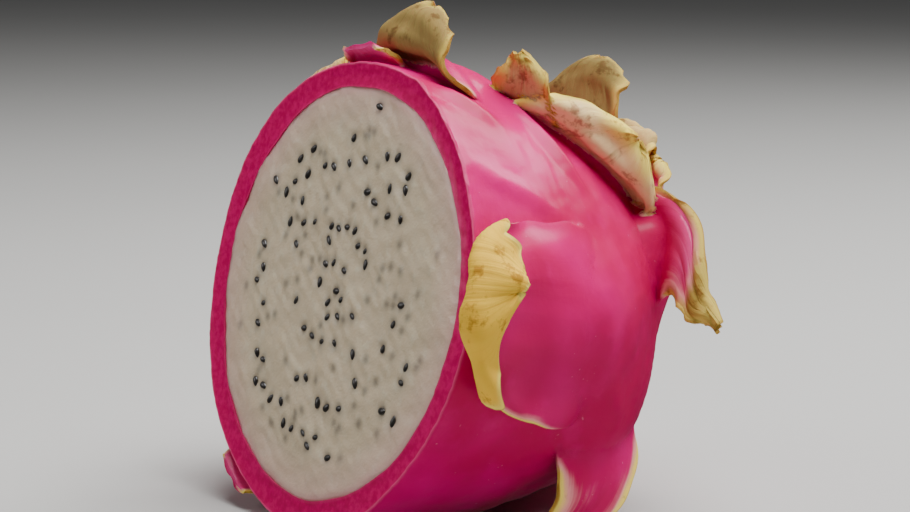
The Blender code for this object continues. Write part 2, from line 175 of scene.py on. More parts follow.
SCALES = [
    # the broad one at the cut's right side, folded back flat
    Scale(30, 3.5, 17.2, 47.5, lift=3, fold=34.7, roll=172, bend=1.7, slant=4, bow=15.5, tip=2,
          tip_roll=10, swell=3.2, hook=5.5, crumple=1.1, outline=2.5, point=0.62, lip=2.2,
          flare=0.12, joined=1.0, whole=True, dry=0.9, margin=1.1, tan=0.12, gold=1.0),
    # the long slanting one on top, with a yellow margin, and the lobe at its start
    Scale(43.5, 65.2, 24, 13.6, lift=7, fold=6.8, roll=94, bend=0.9, slant=8, bow=-0.7, tip=2,
          tip_roll=10, turn=69, swell=1.4, cup=0.5, crumple=0.9, outline=2.5, point=0.75,
          dry=0.80, inner_dry=0.30, margin=6.0, tan=0.06, gold=0.3),
    Scale(28.5, 75, 8, 14, lift=10, fold=5, roll=60, bend=1.5, tip=3, tip_roll=15, turn=55,
          swell=1.2, drift=2, hook=4, cup=0.5, outline=2.2, point=0.8, rows=0.7,
          dry=0.5, inner_dry=0.45, margin=4.6, tan=0.45, gold=0.4),
    # the curled one at the top of the cut
    Scale(14, 83, 14, 20, lift=6, fold=9, roll=100, bend=1.8, bow=2, tip=5, tip_roll=45,
          swell=2.8, drift=2, crumple=0.9, outline=3.0, point=0.65, dry=0.5, inner_dry=0.3,
          tan=0.9, gold=0.6),
    # the drooping one at the far right
    Scale(56, 38, 14, 17.5, lift=65, fold=10, roll=20, bend=6.0, tip_roll=10, swell=4.8,
          drift=-13, hook=-4, outline=1.5, point=1.6, inner_dry=0.62, margin=3.6, tan=0.8,
          gold=1.0),
    # the brown plate that stands behind, and the two lumps before it
    Scale(53.5, 88, 10.5, 21.5, lift=75, fold=14, roll=18, bend=5.0, tip=4, tip_roll=25,
          swell=2.2, drift=3, cup=1.6, outline=4.0, point=0.6, dry=0.35, inner_dry=0.25,
          tan=1.0),
    Scale(57, 71, 10, 14, lift=50, fold=6, roll=150, bend=3.0, swell=4.0, rows=0.8,
          crumple=0.9, dry=0.8, inner_dry=0.5, tan=0.5),
    Scale(58, 61, 10, 7, lift=15, fold=4, roll=50, bend=3.0, swell=5.0, rows=0.8,
          dry=0.9, inner_dry=0.7, tan=0.3),
    # the near one that reaches down to the ground
    Scale(46, -29, 17, 28, lift=48, fold=14, roll=5, bend=8.0, tip_roll=0, turn=90, swell=2.2,
          drift=16, outline=1.3, point=1.4, rows=0.8, dry=0.85, inner_dry=0.7, margin=5.0,
          tan=0.1),
    # two small ones that the knife has cut
    Scale(7, 97, 9, 13, lift=12, fold=8, roll=10, bend=4.0, tip_roll=0, swell=1.6, rows=0.6,
          dry=1.3, inner_dry=1.0, margin=0.9),
    Scale(6, -122, 8, 14, lift=15, fold=8, roll=10, bend=4.0, tip_roll=0, swell=2.4, rows=0.6,
          dry=1.3, inner_dry=1.1, margin=0.8),
    # the far side
    Scale(28, 136, 20, 34, lift=8, fold=17, roll=160, bend=2.4, bow=5, rows=0.8),
    Scale(52, 150, 15, 28, lift=25, fold=13, roll=110, bend=3.0, rows=0.8, tan=0.5),
    Scale(25, -172, 20, 32, lift=8, fold=16, roll=160, bend=2.6, bow=6, rows=0.8),
    Scale(48, -151, 17, 28, lift=48, fold=14, roll=5, bend=8.0, tip_roll=0, turn=-78,
          swell=2.2, outline=1.4, rows=0.8, dry=0.9, inner_dry=0.7, margin=2.0),
    Scale(66, -170, 12, 22, lift=65, fold=12, roll=50, bend=5.0, swell=2.2, rows=0.8, tan=0.6),
    Scale(72, -85, 10, 14, lift=60, fold=10, roll=30, bend=5.0, swell=1.8, rows=0.6),
]
print(len(SCALES), "scales")

# %% [markdown]
# ## Swellings, lumps and grain in the skin
#
# The skin is plump between the scales. A sculptor would inflate it with a brush.
# Here a height over the plain form does the same: one soft mound behind each scale,
# which ends under the blade, a few broad lumps, soft folds where the skin creases,
# a hollow underneath, and a fine grain. The grain is a sum of waves in random
# directions, so it has no seam and is the same on every run.

# %% From the skin to a scale and back
def to_scale(scale, along, around):
    """(towards the stem, sideways) of a place on the skin, in the scale's own directions."""
    turned = (around - scale.around + math.pi) % (2 * math.pi) - math.pi
    behind, across = along - scale.along, turned * radius_at(along)
    cos, sin = math.cos(scale.turn), math.sin(scale.turn)
    return behind * cos + across * sin, across * cos - behind * sin


def from_scale(scale, behind, sideways):
    """The place on the skin of a point given in the scale's own directions."""
    cos, sin = math.cos(scale.turn), math.sin(scale.turn)
    turned = (behind * sin + sideways * cos) / radius_at(scale.along)
    return scale.along + behind * cos - sideways * sin, scale.around + turned


# %% A mound, a grain and a fold
def swelling(scale, behind, sideways):
    """Height of the mound behind a scale."""
    wide = np.clip(1.0 - (sideways / (1.15 * scale.half_width)) ** 2, 0.0, 1.0)
    fall = np.exp(-((np.maximum(behind, 0.0) / (0.95 * scale.half_width)) ** 2))
    return scale.swell * wide ** 1.8 * fall


def grain(points, size, seed, waves=14):
    """Smooth random numbers about 0, close to -1 to 1, for bumps about as large as size."""
    chance = np.random.default_rng(seed)
    total = 0.0
    for _ in range(waves):
        direction = chance.normal(size=3)
        direction *= 2 * math.pi / size * chance.uniform(0.6, 1.5) / np.linalg.norm(direction)
        total = total + np.sin(points @ direction + chance.uniform(0.0, 2 * math.pi))
    return total / math.sqrt(waves)


RIDGES = [
    # from (along, around) to (along, around), height and half width, in millimetres and degrees
    (21, 69, 31, 43, 1.5, 1.8),
    (1, 70, 12, 58, 1.1, 2.2),
    (2, 40, 15, 33, 0.8, 2.2),
    (13, 36, 24, 27, 0.5, 2.2),
    (36, -8, 44, -22, 0.6, 2.6),
    (12, 118, 34, 104, 0.9, 2.2),
    (10, 158, 26, 166, 0.8, 2.2),
    (40, 172, 58, 160, 0.8, 2.4),
    (30, -120, 50, -112, 0.7, 2.6),
]


def ridge(along, around, line):
    """Height of one soft fold of the skin that runs from one place to another."""
    a0, b0, a1, b1, height, wide = line
    start = np.array([a0 * MM, 0.0])
    middle = math.radians((b0 + b1) / 2)
    radius = radius_at((a0 + a1) * MM / 2)
    turned = (around - middle + math.pi) % (2 * math.pi) - math.pi
    end = np.array([a1 * MM, math.radians(b1 - b0) * radius])
    across = turned * radius + end[1] / 2
    way = end - start
    share = np.clip(((along - start[0]) * way[0] + across * way[1]) / (way @ way), 0.0, 1.0)
    gap = np.hypot(along - start[0] - share * way[0], across - share * way[1])
    faded = np.sin(math.pi * (0.15 + 0.7 * share))
    return height * MM * np.exp(-((gap / (wide * MM)) ** 2)) * faded


# %% Height of the skin
HOLLOW_DEPTH = 4.0 * MM
HOLLOW_ALONG = 44.0 * MM
HOLLOW_LENGTH = 14.0 * MM
HOLLOW_ANGLE = math.radians(34.0)


def skin_height(along, around):
    """Height of the real skin over the plain form."""
    total = 0.0
    for scale in SCALES:
        behind, sideways = to_scale(scale, along, around)
        share = np.clip(np.abs(sideways) / scale.half_width, 0.0, 1.2)
        end = -0.26 * scale.length * (1.0 - share ** 1.6)
        past_end = smooth_step((behind - end) / (2.0 * MM) + 0.5)
        total = total + (swelling(scale, behind, sideways) * past_end) ** 3
    lumps = (0.9 * np.cos(around - 3.4)
             + 0.45 * np.sin(3 * around + 40.0 * along + 0.6)
             + 0.35 * np.sin(5 * around - 60.0 * along + 2.1)
             + 0.25 * np.sin(2 * around + 130.0 * along + 4.0))
    fade = np.interp(along, [0.0, 0.8 * SKIN_LENGTH, SKIN_LENGTH], [1.0, 1.0, 0.0])
    beside = (around + math.pi / 2 + math.pi) % (2 * math.pi) - math.pi
    below = ((along - HOLLOW_ALONG) / HOLLOW_LENGTH) ** 2
    hollow = np.exp(-below - (beside / HOLLOW_ANGLE) ** 2)
    places, _ = plain_skin(along, around)
    fine = 0.10 * grain(places, 9 * MM, 3) + 0.05 * grain(places, 2.6 * MM, 4)
    folds = sum(ridge(along, around, line) for line in RIDGES)
    return np.cbrt(total) + (lumps + fine) * MM * fade + folds - HOLLOW_DEPTH * hollow


print("Tallest swelling:", max(scale.swell for scale in SCALES) / MM, "mm")

# %% [markdown]
# ## A leafy blade
#
# A blade is a sheet that is bent three times: at its tip, along the line where it
# rolls back, and where it leaves the skin. Bending is plain geometry: what lies past
# the line turns round a small circle and goes on straight. The sheet is then laid on
# the skin and gets a thickness, thin at its margin and thicker at its root. Each
# point also remembers where on the blade it is, for the colours.

# %% Bend a sheet
def bent(distance, height, radius, angle):
    """(distance, height) of points of a sheet once it is bent where its distance passes 0."""
    sign = 1.0 if angle >= 0 else -1.0
    turned = np.clip(distance / radius, 0.0, abs(angle))
    past = np.maximum(distance - radius * abs(angle), 0.0)
    moved = np.minimum(distance, 0.0) + radius * np.sin(turned) + past * np.cos(turned)
    risen = radius * (1.0 - np.cos(turned)) + past * np.sin(turned)
    return moved - sign * np.sin(turned) * height, sign * risen + np.cos(turned) * height


place, height = bent(10.0 * MM, 0.0, 2.0 * MM, math.pi / 2)
print("10 mm past a square bend of 2 mm lies at", round(place / MM, 2), round(height / MM, 2), "mm")

# %% The outer face of a blade
ROOT_SHARE = 0.12  # the part of the length that lies behind the base line
ROOT_DEPTH = 1.0 * MM  # how far the root is sunk in its swelling
TIP_BEND = 3.0 * MM
BASE_BEND = 6.0 * MM
RAGGED = 0.035  # how uneven the outline is, as a share of its width


def blade_outline(scale, v):
    """Half width along a blade as a share of its base."""
    flare = 1.0 + scale.flare * (1.0 - smooth_step(v / 0.6))
    return np.clip(1.0 - v ** scale.outline, 0.0, 1.0) ** scale.point * 0.96 * flare + 0.04


def blade_sheet(scale, v, u):
    """A blade's outer face: points for v from root to tip and u from side to side."""
    forward = (v * (1.0 + ROOT_SHARE) - ROOT_SHARE) * scale.length
    grown = smooth_step(v / 0.8)
    ragged = np.sin(31.0 * v + 3.0 * np.sign(u) + 40 * scale.half_width / MM)
    ragged = 1.0 + RAGGED * grown * ragged
    sideways = u * scale.half_width * blade_outline(scale, v) * ragged + scale.drift * grown ** 2
    sideways = sideways + scale.hook * np.maximum(v, 0.0) ** 5
    waves = np.sin(7.0 * u + 9.0 * v) + 0.7 * np.sin(4.0 * u - 17.0 * v + 1.0)
    edge = u ** 2
    height = scale.cup * edge * smooth_step((v - 0.10) / 0.3)
    height = height + scale.crumple * waves * grown * (0.35 + 0.65 * edge)
    ribs = np.sin(19.0 * u + 2.0 * v) * 0.10 + np.sin(33.0 * u - 3.0 * v + 1.0) * 0.05
    frill = np.sin(38.0 * v + 5.0 * u) * 0.28 * edge ** 3
    height = height + (ribs + frill) * MM * grown
    place, height = bent(forward - (scale.length - scale.tip), height, TIP_BEND, scale.tip_roll)
    forward = place + scale.length - scale.tip
    cos, sin = math.cos(scale.slant), math.sin(scale.slant)
    past = forward * cos + sideways * sin - scale.fold
    beside = sideways * cos - forward * sin
    past = past + scale.bow * (beside / scale.half_width) ** 2
    lip = smooth_step((-u - 0.6) / 0.4) * smooth_step(v / 0.15) * smooth_step(-past / (5.0 * MM))
    height = height + scale.lip * lip
    moved, height = bent(past, height, scale.bend, scale.roll)
    moved = moved - past
    forward, sideways = forward + moved * cos, sideways + moved * sin
    forward, height = bent(forward, height, BASE_BEND, scale.lift)
    along, around = from_scale(scale, -forward, sideways)
    points, normals = plain_skin(along, around)
    sunk = ROOT_DEPTH * (1.0 - smooth_step(v / 0.3)) + 0.5 * MM * u ** 4 * (1.0 - v)
    base = swelling(scale, -forward, sideways)
    return points + normals * (base + height - sunk)[..., None], normals


tips, _ = blade_sheet(SCALES[0], np.ones((1, 1)), np.zeros((1, 1)))
print("The first scale's tip, in the fruit's frame:", (tips[0, 0] / MM).round(1), "mm")

# %% [markdown]
# What the colours need from each point is kept in one row of numbers per point:
# how far along the blade, how far to the side, whether it is the inner face, how
# near the margin, how dry, how brown, how golden, whether it is cut, and how deep
# in the cut.

# %% What each point remembers
FACTS = ("reach", "side", "inner", "edge", "dry", "brown", "gold", "cut", "ring")


def same_facts(count, **values):
    """The same facts for a number of points: 0 where no value is given."""
    return np.tile([float(values.get(name, 0.0)) for name in FACTS], (count, 1))


def blade_facts(scale, v, u, inner):
    """The facts of a grid of blade points."""
    v, u = np.broadcast_arrays(v, u)
    wide = scale.half_width * blade_outline(scale, v)
    from_edge = np.minimum((1.0 - np.abs(u)) * wide, (1.0 - v) * scale.length)
    edge = np.exp(-from_edge / (0.55 * scale.margin)) * smooth_step((v - 0.12) / 0.25)
    flat_part = smooth_step((0.92 * scale.fold / scale.length - v) / 0.10 + 0.5)
    edge = edge * (1.0 - scale.joined * smooth_step(u / 0.3) * flat_part)
    start = scale.inner_dry if inner else scale.dry
    dry = np.maximum(smooth_step((v - start + 0.12) / 0.3), edge)
    full = np.ones_like(v)
    return np.stack([v, u, full * inner, edge, dry, full * scale.tan, full * scale.gold,
                     full * 0, full * 0], -1)


print("Facts:", ", ".join(FACTS))

# %% Blade meshes
RIM_THICKNESS = 0.8 * MM
ROOT_THICKNESS = 3.4 * MM
BLADE_ROWS = 56
BLADE_COLUMNS = 34


def blade_rows(scale, rows):
    """Places from root to tip, closer together where the blade folds."""
    fine = np.linspace(0.0, 1.0, 401)
    middle = (scale.fold + 0.5 * scale.bend * scale.roll) / scale.length
    middle = (middle + ROOT_SHARE) / (1.0 + ROOT_SHARE)
    dense = 1.0 + 1.6 * math.cos(scale.slant) ** 2 * np.exp(-(((fine - middle) / 0.13) ** 2))
    reached = np.concatenate([[0.0], np.cumsum(dense[1:])])
    return np.interp(np.linspace(0.0, 1.0, rows + 1), reached / reached[-1], fine)


def worked(mesh, change):
    """The same mesh after a change made with bmesh."""
    work = bmesh.new()
    work.from_mesh(mesh)
    change(work)
    work.to_mesh(mesh)
    work.free()
    return mesh


def mesh_from(name, points, faces):
    """A mesh with its faces turned outwards."""
    made = bpy.data.meshes.new(name)
    made.from_pydata(points.tolist(), [], faces)
    return worked(made, lambda work: bmesh.ops.recalc_face_normals(work, faces=work.faces))


def blade_mesh(scale):
    """(closed mesh, facts of its points) of one blade."""
    rows, columns = round(BLADE_ROWS * scale.rows), 2 * round(BLADE_COLUMNS * scale.rows / 2)
    v = blade_rows(scale, rows)[:, None]
    u = np.sin(np.linspace(-1.0, 1.0, columns + 1) * 1.35)[None, :] / math.sin(1.35)
    outer, normals = blade_sheet(scale, v, u)
    face = np.cross(np.gradient(outer, axis=0), np.gradient(outer, axis=1))
    face /= np.linalg.norm(face, axis=-1, keepdims=True)
    face *= np.sign((face[0, columns // 2] * normals[0, columns // 2]).sum())
    body = (1.0 - smooth_step(v / 0.6)) * (1.0 - np.abs(u) ** 2.5)
    thick = RIM_THICKNESS + (ROOT_THICKNESS - RIM_THICKNESS) * body
    inner = outer - face * thick[..., None]
    points = np.concatenate([outer.reshape(-1, 3), inner.reshape(-1, 3)])
    known = [blade_facts(scale, v, u, side).reshape(-1, len(FACTS)) for side in (0, 1)]
    wide, count = columns + 1, (rows + 1) * (columns + 1)
    faces = []
    for i in range(rows):
        for j in range(columns):
            a = i * wide + j
            faces.append((a, a + wide, a + wide + 1, a + 1))
            faces.append((count + a, count + a + 1, count + a + wide + 1, count + a + wide))
    rim = [i * wide for i in range(rows)] + [rows * wide + j for j in range(columns)]
    rim += [i * wide + columns for i in range(rows, 0, -1)] + [j for j in range(columns, 0, -1)]
    for a, b in zip(rim, rim[1:] + rim[:1]):
        faces.append((b, a, count + a, count + b))
    return mesh_from("blade", points, faces), np.concatenate(known)


print("A full blade has", 2 * (BLADE_ROWS + 1) * (BLADE_COLUMNS + 1), "points")

# %% [markdown]
# ## The shell
#
# The peel's shell is one closed surface: the skin from the stem to the cut, a small
# bevel at the knife's edge, the cut ring, and the hollow that holds the flesh. It is
# built as loops of points, like a vase on a wheel, but each loop follows the skin's
# own height. A cut with a Boolean would leave a ring with no points in its middle,
# and the ring's relief and colours need them. Round the stem the skin is corky, so
# the last loops remember that they are dry.

# %% Loops of the shell
FLESH_RADIUS = 39.3 * MM
FLESH_LENGTH = 58.0 * MM
FLESH_FULLNESS = 0.94
SKIN_RINGS = 118
SPOKES = 288
RING_STEPS = 12
HOLLOW_RINGS = 16
BEVEL = 0.28 * MM
CORKY_START = 9.5 * MM
CORKY_FADE = 6.0 * MM


def flesh_edge(around):
    """Radius at which peel and flesh meet in the cut: nearly a circle."""
    return FLESH_RADIUS + (0.22 * np.sin(3 * around + 1.0) + 0.16 * np.sin(7 * around)
                           + 0.10 * np.sin(17 * around + 2.0)) * MM


def flesh_side(angle, around, grow):
    """The flesh's rounded side, from 0 at the cut to 90 degrees at its deepest point."""
    deep = (FLESH_LENGTH + grow) * math.sin(angle) ** FLESH_FULLNESS
    share = max(math.cos(angle), 0.0) ** FLESH_FULLNESS
    radius = (flesh_edge(around) + grow) * share
    return np.stack([radius * np.cos(around), deep + 0.0 * around, radius * np.sin(around)], -1)


def shell_loops():
    """(loops of points, facts of each) from the stem over the cut into the hollow."""
    around = np.linspace(0.0, 2 * math.pi, SPOKES, endpoint=False)
    loops, known = [], []
    share = np.linspace(1.0, 0.0, SKIN_RINGS + 1)
    for along in SKIN_LENGTH * (0.9 * share + 0.1 * share ** 2):
        points, normals = plain_skin(along, around)
        loops.append(points + normals * skin_height(np.full(SPOKES, along), around)[:, None])
        corky = smooth_step((along - SKIN_LENGTH + CORKY_START) / CORKY_FADE)
        known.append(same_facts(SPOKES, dry=0.85 * corky, brown=0.5))
    outer = loops[-1]
    loops[-1] = outer + np.array([0.0, BEVEL, 0.0])
    inner = flesh_side(0.0, around, 0.0)
    width = np.linalg.norm(outer - inner, axis=1)[:, None]
    inwards = (inner - outer) / width
    first = outer + inwards * BEVEL
    for step in range(RING_STEPS + 1):
        part = step / RING_STEPS
        points = first * (1.0 - part) + inner * part
        sunk = 0.22 * math.sin(math.pi * part) ** 0.8 + 0.05 * grain(points, 2.2 * MM, 6)
        points[:, 1] += sunk * MM
        loops.append(points)
        known.append(same_facts(SPOKES, cut=1.0, ring=part))
    for angle in np.linspace(0.0, math.pi / 2, HOLLOW_RINGS + 1)[1:]:
        loops.append(flesh_side(angle, around, 0.0))
        known.append(known[-1])
    return loops, known


# %% Close the loops to a mesh
def closed_values(loops):
    """Values of loops in one array, with one row each for the first and the last loop."""
    return np.concatenate([loops[0][:1]] + loops[1:-1] + [loops[-1][:1]])


def closed_loops(loops):
    """(points, faces) of loops whose first and last are each drawn to one point."""
    count = len(loops[0])
    ends = [loop.mean(axis=0)[None, :] for loop in (loops[0], loops[-1])]
    faces = []
    last = 1 + (len(loops) - 2) * count
    for i in range(count):
        k = (i + 1) % count
        faces.append((0, 1 + k, 1 + i))
        faces.append((last, last - count + i, last - count + k))
        for ring in range(len(loops) - 3):
            a = 1 + ring * count
            faces.append((a + i, a + k, a + count + k, a + count + i))
    return np.concatenate(ends[:1] + loops[1:-1] + ends[1:]), faces


loops, known = shell_loops()
points, faces = closed_loops(loops)
shell_mesh = mesh_from("peel", points, faces)
print("Shell:", len(points), "points")

# %% [markdown]
# ## One grown piece
#
# Shell and blades are joined by a Boolean union. The MANIFOLD solver is quick and
# sure with closed meshes, but now and then it leaves two faces back to back on the
# same points, so such pairs are dropped. A union also leaves a hard line where two
# surfaces meet, and nothing that grows has one, so the points near such lines are
# smoothed: each moves towards the mean of its neighbours a few times.

# %% Joining and cutting
FAR = 0.2  # farther than any point of the fruit


def settled(obj):
    """Turns an object's live modifiers into a plain mesh."""
    bpy.context.view_layer.update()
    graph = bpy.context.evaluated_depsgraph_get()
    mesh = bpy.data.meshes.new_from_object(obj.evaluated_get(graph))
    obj.modifiers.clear()
    obj.data = mesh


def drop_doubles(work):
    """Removes pairs of faces on the same points."""
    groups = {}
    for face in work.faces:
        groups.setdefault(frozenset(v.index for v in face.verts), []).append(face)
    doubled = [face for group in groups.values() if len(group) > 1 for face in group]
    bmesh.ops.delete(work, geom=doubled, context="FACES")


def boolean(target, others, operation):
    """Joins or cuts for good, with a list of objects, and removes what was used."""
    group = bpy.data.collections.new("used")
    bpy.context.scene.collection.children.link(group)
    for other in others:
        for owner in list(other.users_collection):
            owner.objects.unlink(other)
        group.objects.link(other)
    modifier = target.modifiers.new("join", "BOOLEAN")
    modifier.operation, modifier.solver = operation, "MANIFOLD"
    modifier.operand_type, modifier.collection = "COLLECTION", group
    settled(target)
    worked(target.data, drop_doubles)
    for other in others:
        bpy.data.objects.remove(other)
    bpy.data.collections.remove(group)


def cut_below(target, axis, level):
    """Cuts off what lies below a level of one axis, with a large block."""
    low, high = Vector((-FAR, -FAR, -FAR)), Vector((FAR, FAR, FAR))
    high[axis] = level
    mesh = bpy.data.meshes.new("block")
    worked(mesh, lambda work: bmesh.ops.create_cube(work, size=1.0))
    mesh.transform(Matrix.Translation((low + high) / 2) @ Matrix.Diagonal((*(high - low), 1.0)))
    boolean(target, [new_object("block", mesh)], "DIFFERENCE")


def mesh_points(mesh):
    """All points of a mesh as rows of x, y and z."""
    flat = np.empty(3 * len(mesh.vertices))
    mesh.vertices.foreach_get("co", flat)
    return flat.reshape(-1, 3)


print("A blade is cut with a block of", 2 * FAR, "m")

# %% Smoothing where parts meet
JOINT_REACH = 2.2 * MM  # how far from a joint the smoothing reaches
JOINT_ROUNDS = 8
JOINT_PULL = 0.55  # how far a point moves towards its neighbours each round


def tree_of(points):
    """A search tree that finds the nearest of many points."""
    tree = KDTree(len(points))
    for number, point in enumerate(points):
        tree.insert(point, number)
    tree.balance()
    return tree


def smooth_joints(mesh, sources):
    """Smooths a mesh near the points that a union has added to those of its sources."""
    points = mesh_points(mesh)
    added = [p for p in points if sources.find(p)[2] > 1e-6]
    near = tree_of(added)
    weight = np.array([near.find(p)[2] for p in points])
    weight = JOINT_PULL * (1.0 - smooth_step(weight / JOINT_REACH))[:, None]
    ends = np.empty(2 * len(mesh.edges), int)
    mesh.edges.foreach_get("vertices", ends)
    a, b = ends[0::2], ends[1::2]
    count = np.bincount(np.concatenate([a, b]), minlength=len(points))[:, None]
    for _ in range(JOINT_ROUNDS):
        sums = [np.bincount(a, column[b], len(points)) + np.bincount(b, column[a], len(points))
                for column in points.T]
        points = points + weight * (np.stack(sums, -1) / count - points)
    mesh.vertices.foreach_set("co", points.ravel())
    mesh.update()
    return len(added)


# %% [markdown]
# ## The stem scar
#
# Where the fruit was cut from its plant, a short woody stub with a torn end stays in
# a dimple. It is a small vase of nine loops, with a few waves on them for the torn
# fibres: too small to need more, and it joins the peel like a blade.

# %% The stub at the stem end
SCAR_PROFILE = ((0.5, -3.5), (4.6, -3.5), (4.7, -1.0), (4.3, 0.6), (3.9, 2.0), (3.5, 2.6),
                (2.6, 2.3), (1.5, 2.6), (0.4, 2.2))  # radius and depth, in millimetres
SCAR_SPOKES = 48


def scar_mesh():
    """(closed mesh, facts of its points) of a short stub with a torn end."""
    loops = []
    around = np.linspace(0.0, 2 * math.pi, SCAR_SPOKES, endpoint=False)
    for radius, deep in SCAR_PROFILE:
        torn = 1.0 + 0.06 * np.sin(5 * around + 1.0) + 0.04 * np.sin(11 * around)
        rise = 0.35 * np.sin(7 * around + radius) * (deep > 1.0)
        y = HALF_LENGTH - DIMPLE_DEPTH + (deep + rise) * MM
        loops.append(np.stack([radius * MM * torn * np.cos(around), y,
                               radius * MM * torn * np.sin(around)], -1))
    points, faces = closed_loops(loops)
    return mesh_from("scar", points, faces), same_facts(len(points), dry=1.0, brown=1.0, reach=0.9)


print("The stub is", round(2 * max(SCAR_PROFILE)[0], 1), "mm across")

# %% [markdown]
# ## Putting the peel together
#
# The knife went through some scales too, so all but the whole one are cut off at
# the cut's plane before they are joined to the shell. A Boolean forgets what each
# point knew, so each point of the result asks the nearest point of the shapes it
# came from. At the end the peel is laid down, and what would sink into the ground
# is cut off, which gives it its flat spot to rest on.

# %% Build the peel
CUT_CLEARANCE = 0.02 * MM
all_points, all_facts, blades = [mesh_points(shell_mesh)], [closed_values(known)], []
for scale in SCALES + [None]:
    mesh, facts = blade_mesh(scale) if scale else scar_mesh()
    all_points.append(mesh_points(mesh))
    all_facts.append(facts)
    blades.append(new_object("blade", mesh))
    if scale and not scale.whole:
        cut_below(blades[-1], 1, -CUT_CLEARANCE)

sources = tree_of(np.concatenate(all_points))
peel = new_object("peel_grown", shell_mesh)
boolean(peel, blades, "UNION")
joint_points = smooth_joints(peel.data, sources)
print("Points where parts meet:", joint_points, "of", len(peel.data.vertices))


# %% Give each point its facts, lay the peel down and rest it on the ground
def remember(mesh, name, values):
    """Keeps one number per point, which a material can read by its name."""
    layer = mesh.attributes.new(name, "FLOAT", "POINT")
    layer.data.foreach_set("value", values.astype(np.float32))


SHARP_ANGLE = math.radians(50.0)
nearest = [sources.find(p)[1] for p in mesh_points(peel.data)]
for name, values in zip(FACTS, np.concatenate(all_facts)[nearest].T):
    remember(peel.data, name, values)
peel.data.transform(LAY_DOWN)
cut_below(peel, 2, 0.0)
peel.data.shade_smooth()
peel.data.set_sharp_from_angle(angle=SHARP_ANGLE)
peel.data.calc_loop_triangles()
faces_at_edge = np.bincount([loop.edge_index for loop in peel.data.loops])
print("Peel:", len(peel.data.loop_triangles), "triangles,", (faces_at_edge != 2).sum(),
      "open edges, facts:", sum(name in peel.data.attributes for name in FACTS))

# %% [markdown]
# ## The seeds' places
#
# The seeds lie in strings round the middle of the cut, as they hung on the walls
# of the fruit's chamber. A seeded random rule sets them along arcs and keeps them
# apart, so they fall at the same places as the bumps on the solid.

# %% Places of the seeds
SEED_LENGTH = 2.1 * MM
SEED_WIDTH = 1.3 * MM
SEED_SPACING = 2.5 * MM


def seed_places():
    """(x, z, turn) of the seeds on the cut face: strings of them along arcs round its middle."""
    chance = random.Random(11)
    strings = [
        (4.0, 0, 360, 9, 1.6),
        (12.5, 25, 140, 9, 1.6),
        (10.5, -170, -10, 7, 1.4),
        (21.0, 40, 80, 5, 2.0),
        (29.5, 45, 72, 4, 1.6),
        (31.0, 80, 100, 2, 2.5),
        (24.5, 82, 122, 4, 1.5),
        (28.5, 118, 150, 6, 2.0),
        (22.0, 130, 158, 4, 2.2),
        (27.0, 162, 205, 5, 1.4),
        (28.5, 208, 245, 6, 1.8),
        (28.5, 248, 285, 6, 1.6),
        (21.0, 240, 312, 6, 1.6),
        (29.0, 312, 345, 4, 2.0),
        (21.0, -28, 6, 3, 2.5),
    ]
    places = []
    for radius, start, end, count, spread in strings:
        for number in range(count):
            for _ in range(60):
                share = (number + chance.uniform(0.15, 0.85)) / count
                angle = math.radians(start + (end - start) * share)
                reach = (radius + chance.gauss(0.0, spread)) * MM
                x = reach * math.cos(angle)
                z = reach * math.sin(angle)
                if all(math.hypot(x - a, z - b) > SEED_SPACING for a, b, _ in places):
                    places.append((x, z, chance.uniform(0.0, math.pi)))
                    break
    return places


seeds_at = np.array(seed_places())
print(len(seeds_at), "seeds")

# %% [markdown]
# ## The flesh
#
# The flesh is a plug that fills the hollow. Its cut face is not quite flat: it is
# juicy, bulges a little, and has fine grain and a shallow pit at each seed. The face
# is made of rings, so that the pits and the grain have points to stand on. Seeds
# that lie just under the surface show as soft grey spots, so the distance to a few
# hidden seeds is kept for the colour.

# %% Seeds under the surface
def closeness(x, z, places, size):
    """1 at a place and 0 far from all of them."""
    total = np.zeros_like(x)
    for a, b in places:
        total = np.maximum(total, np.exp(-((x - a) ** 2 + (z - b) ** 2) / size ** 2))
    return total


HIDDEN_TRIES = 90
HIDDEN_SPACING = 2.2 * MM  # from the nearest seed that shows
chance = np.random.default_rng(5)
angles = chance.uniform(0.0, 2 * math.pi, HIDDEN_TRIES)
reaches = (6.0 + 27.0 * chance.random(HIDDEN_TRIES) ** 0.6) * MM
hidden_seeds = np.stack([reaches * np.cos(angles), reaches * np.sin(angles)], -1)
seeds_xz = seeds_at[:, :2]
clear = [min(np.hypot(*(h - s)) for s in seeds_xz) > HIDDEN_SPACING for h in hidden_seeds]
hidden_seeds = hidden_seeds[clear]
print(len(hidden_seeds), "hidden seeds")

# %% The flesh's mesh
FACE_RINGS = 84
FACE_SPOKES = 288
around = np.linspace(0.0, 2 * math.pi, FACE_SPOKES, endpoint=False)
loops, rims = [], []
for part in np.linspace(0.0, 1.0, FACE_RINGS + 1):
    radius = flesh_edge(around) * part
    x, z = radius * np.cos(around), radius * np.sin(around)
    flat = np.stack([x, 0 * x, z], -1)
    bulge = 0.30 * (1.0 - part ** 2) - 0.18 * smooth_step((part - 0.97) / 0.03)
    relief = bulge + 0.07 * grain(flat, 3.0 * MM, 21) + 0.13 * grain(flat, 11.0 * MM, 22)
    relief = relief - 0.30 * closeness(x, z, seeds_xz, 0.9 * MM)
    loops.append(np.stack([x, -relief * MM, z], -1))
    rims.append(np.full(FACE_SPOKES, part))
for angle in np.linspace(0.0, math.pi / 2, HOLLOW_RINGS + 1)[1:]:
    loops.append(flesh_side(angle, around, 0.04 * MM))
    rims.append(np.ones(FACE_SPOKES))
points, faces = closed_loops(loops)
flesh = new_object("flesh_cut", mesh_from("flesh_cut", points, faces))
x, y, z = points.T
at_face = y < 1.0 * MM
remember(flesh.data, "rim", closed_values(rims))
remember(flesh.data, "pit", closeness(x, z, seeds_xz, 1.3 * MM) * at_face)
